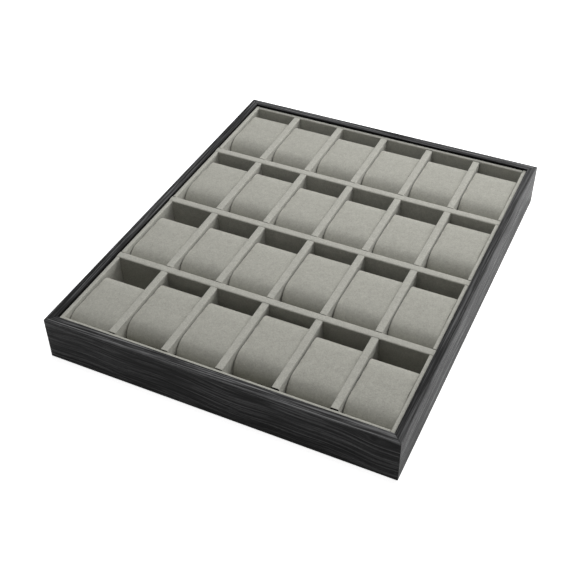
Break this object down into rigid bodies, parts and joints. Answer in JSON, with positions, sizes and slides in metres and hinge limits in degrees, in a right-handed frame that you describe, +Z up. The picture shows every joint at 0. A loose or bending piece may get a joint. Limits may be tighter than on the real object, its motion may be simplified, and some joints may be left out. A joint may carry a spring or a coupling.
{
  "type": "watch display tray",
  "caption": "Low open box with wood-grain rails and a velour-lined insert whose compartments each hold a soft pillow for displaying a watch.",
  "frame": {"origin": "middle of the underside, level with the surface that the tray stands on", "axes": "+Z up, +Y towards the back rail, +X towards the right rail"},
  "size_m": [0.365, 0.448, 0.0495],
  "materials": {
    "frame": "black wood-grain foil, satin",
    "base": "black board, matt",
    "insert_velour": "warm grey velour glued over board",
    "pillow_velour": "warm grey velour over a soft filling"
  },
  "bodies": {
    "root": {"front_rail": "frame", "back_rail": "frame", "left_rail": "frame", "right_rail": "frame", "base_panel": "base", "floor_lining": "insert_velour", "front_liner": "insert_velour", "back_liner": "insert_velour", "left_liner": "insert_velour", "right_liner": "insert_velour", "cross_divider_1": "insert_velour", "cross_divider_2": "insert_velour", "cross_divider_3": "insert_velour", "long_divider_1": "insert_velour", "long_divider_2": "insert_velour", "long_divider_3": "insert_velour", "long_divider_4": "insert_velour", "long_divider_5": "insert_velour", "pillow_row1_col1": "pillow_velour", "pillow_row1_col2": "pillow_velour", "pillow_row1_col3": "pillow_velour", "pillow_row1_col4": "pillow_velour", "pillow_row1_col5": "pillow_velour", "pillow_row1_col6": "pillow_velour", "pillow_row2_col1": "pillow_velour", "pillow_row2_col2": "pillow_velour", "pillow_row2_col3": "pillow_velour", "pillow_row2_col4": "pillow_velour", "pillow_row2_col5": "pillow_velour", "pillow_row2_col6": "pillow_velour", "pillow_row3_col1": "pillow_velour", "pillow_row3_col2": "pillow_velour", "pillow_row3_col3": "pillow_velour", "pillow_row3_col4": "pillow_velour", "pillow_row3_col5": "pillow_velour", "pillow_row3_col6": "pillow_velour", "pillow_row4_col1": "pillow_velour", "pillow_row4_col2": "pillow_velour", "pillow_row4_col3": "pillow_velour", "pillow_row4_col4": "pillow_velour", "pillow_row4_col5": "pillow_velour", "pillow_row4_col6": "pillow_velour"}
  },
  "joints": []
}
